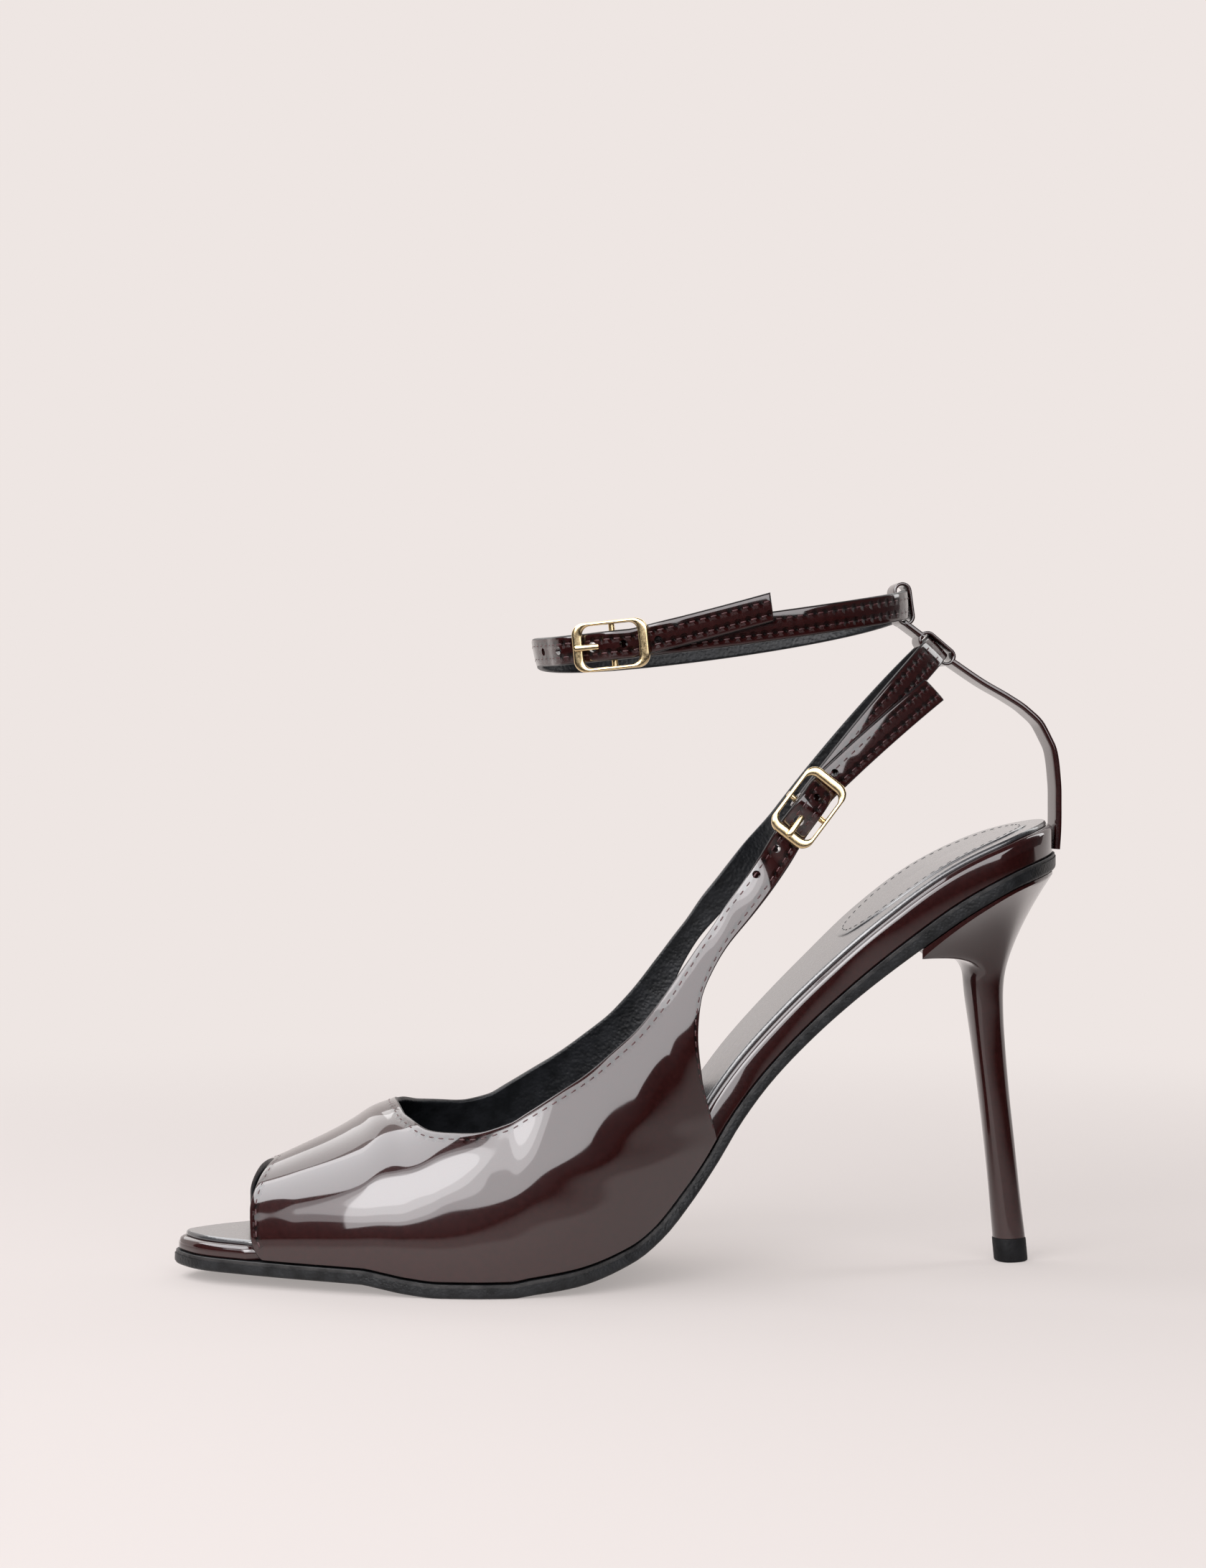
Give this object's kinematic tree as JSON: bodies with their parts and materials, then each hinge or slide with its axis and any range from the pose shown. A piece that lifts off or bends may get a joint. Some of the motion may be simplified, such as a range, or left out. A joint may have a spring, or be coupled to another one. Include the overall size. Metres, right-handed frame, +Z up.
{
  "type": "ankle strap heel",
  "caption": "Left open toe slingback heel in patent leather, with a buckled ankle strap, a buckled sling strap and a tall thin heel.",
  "frame": {"origin": "on the floor under the ball, in the flat spot of the sole", "axes": "+X from toe to heel, +Y to the inner side of the foot, +Z up"},
  "size_m": [0.2198, 0.0721, 0.1697],
  "materials": {
    "patent": "oxblood patent leather, high gloss",
    "sock": "grey grained lining",
    "outsole": "satin black",
    "top_piece": "matt black",
    "gold": "polished pale gold"
  },
  "bodies": {
    "root": {"outsole": "outsole", "insole": "patent", "sock": "sock", "heel": "patent", "top_piece": "top_piece", "upper": "patent", "back_strap": "patent", "ankle_strap": "patent", "sling_buckle": "gold", "sling_prong": "gold", "ankle_buckle": "gold", "ankle_prong": "gold"}
  },
  "joints": []
}
